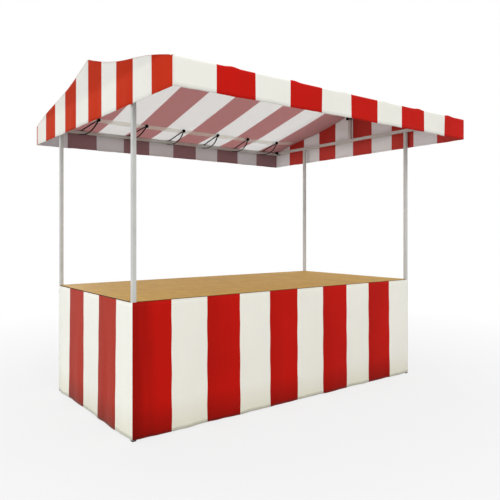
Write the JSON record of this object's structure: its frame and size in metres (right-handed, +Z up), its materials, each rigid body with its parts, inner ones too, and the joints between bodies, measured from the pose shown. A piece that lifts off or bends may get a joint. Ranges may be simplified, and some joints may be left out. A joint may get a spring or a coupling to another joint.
{
  "type": "market stall with a square steel tube frame, striped cloth roof and skirt, and wooden counter",
  "caption": "Free-standing market stall: square steel tube frame, ridged striped cloth roof with a valance, wooden counter with a striped cloth skirt down to the ground.",
  "frame": {"origin": "on the ground under the middle of the stall", "axes": "+X along the counter, the front faces -Y, +Z up"},
  "size_m": [3.043, 2.722, 2.766],
  "materials": {
    "frame_paint": "light grey satin paint on square steel tube",
    "foot_plastic": "black moulded tube inserts",
    "board_wood": "plain varnished plywood, grain along the counter",
    "skirt_cloth": "red and white block stripes, matt coated polyester",
    "roof_cloth": "red and white block stripes, matt coated polyester",
    "webbing": "cream woven webbing",
    "ball_plastic": "black moulded balls",
    "elastic": "black elastic cord"
  },
  "bodies": {
    "root": {"corner_balls": "ball_plastic", "corner_loops": "elastic", "counter_bearers": "frame_paint", "counter_board_long": "board_wood", "counter_board_short": "board_wood", "counter_rail_front": "frame_paint", "counter_rail_left": "frame_paint", "counter_rail_rear": "frame_paint", "counter_rail_right": "frame_paint", "eave_tube_front": "frame_paint", "eave_tube_rear": "frame_paint", "end_beam_left": "frame_paint", "end_beam_right": "frame_paint", "foot_front_left": "foot_plastic", "foot_front_right": "foot_plastic", "foot_rear_left": "foot_plastic", "foot_rear_right": "foot_plastic", "gable_left": "roof_cloth", "gable_right": "roof_cloth", "king_post_balls": "ball_plastic", "king_post_left": "frame_paint", "king_post_loops": "elastic", "king_post_right": "frame_paint", "post_front_left": "frame_paint", "post_front_right": "frame_paint", "post_rear_left": "frame_paint", "post_rear_right": "frame_paint", "ridge_tube": "frame_paint", "roof_slope_front": "roof_cloth", "roof_slope_rear": "roof_cloth", "skirt_front": "skirt_cloth", "skirt_left": "skirt_cloth", "skirt_rear": "skirt_cloth", "skirt_right": "skirt_cloth", "tie_balls_front": "ball_plastic", "tie_balls_rear": "ball_plastic", "tie_loops_front": "elastic", "tie_loops_rear": "elastic", "tie_strip_front": "webbing", "tie_strip_rear": "webbing", "valance_front": "roof_cloth", "valance_rear": "roof_cloth"}
  },
  "joints": []
}
